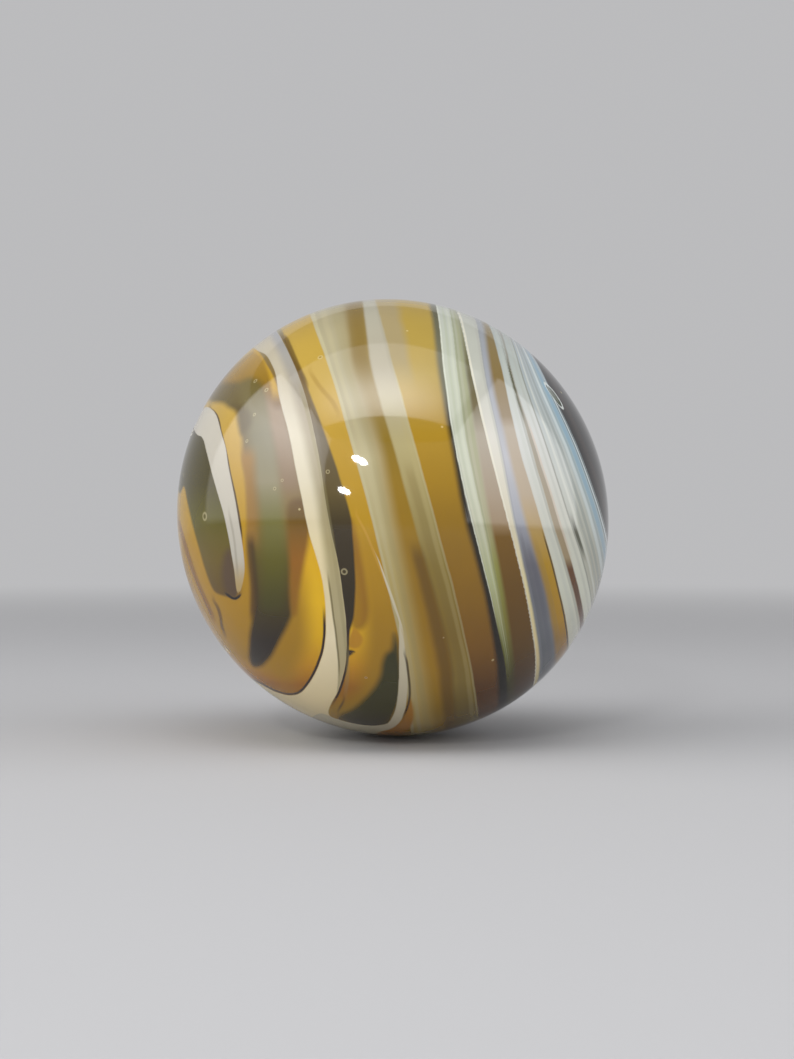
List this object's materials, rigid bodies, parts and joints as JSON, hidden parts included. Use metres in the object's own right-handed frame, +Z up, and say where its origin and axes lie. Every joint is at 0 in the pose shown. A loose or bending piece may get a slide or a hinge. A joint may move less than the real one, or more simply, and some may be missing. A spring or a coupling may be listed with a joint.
{
  "type": "glass marble",
  "caption": "Solid glass ball, hand worked, slightly out of round, with swirled bands of opaque and clear coloured glass; rolls freely or sits in a cup or ring.",
  "frame": {"origin": "centre of the ball", "axes": "+Z up as the marble sat, -Y towards the side that shows the fold and the bands together"},
  "size_m": [0.0402, 0.0394, 0.0406],
  "materials": {
    "swirl_glass": "fire-polished, glossy, mostly opaque"
  },
  "bodies": {
    "root": {"marble": "swirl_glass"}
  },
  "joints": []
}
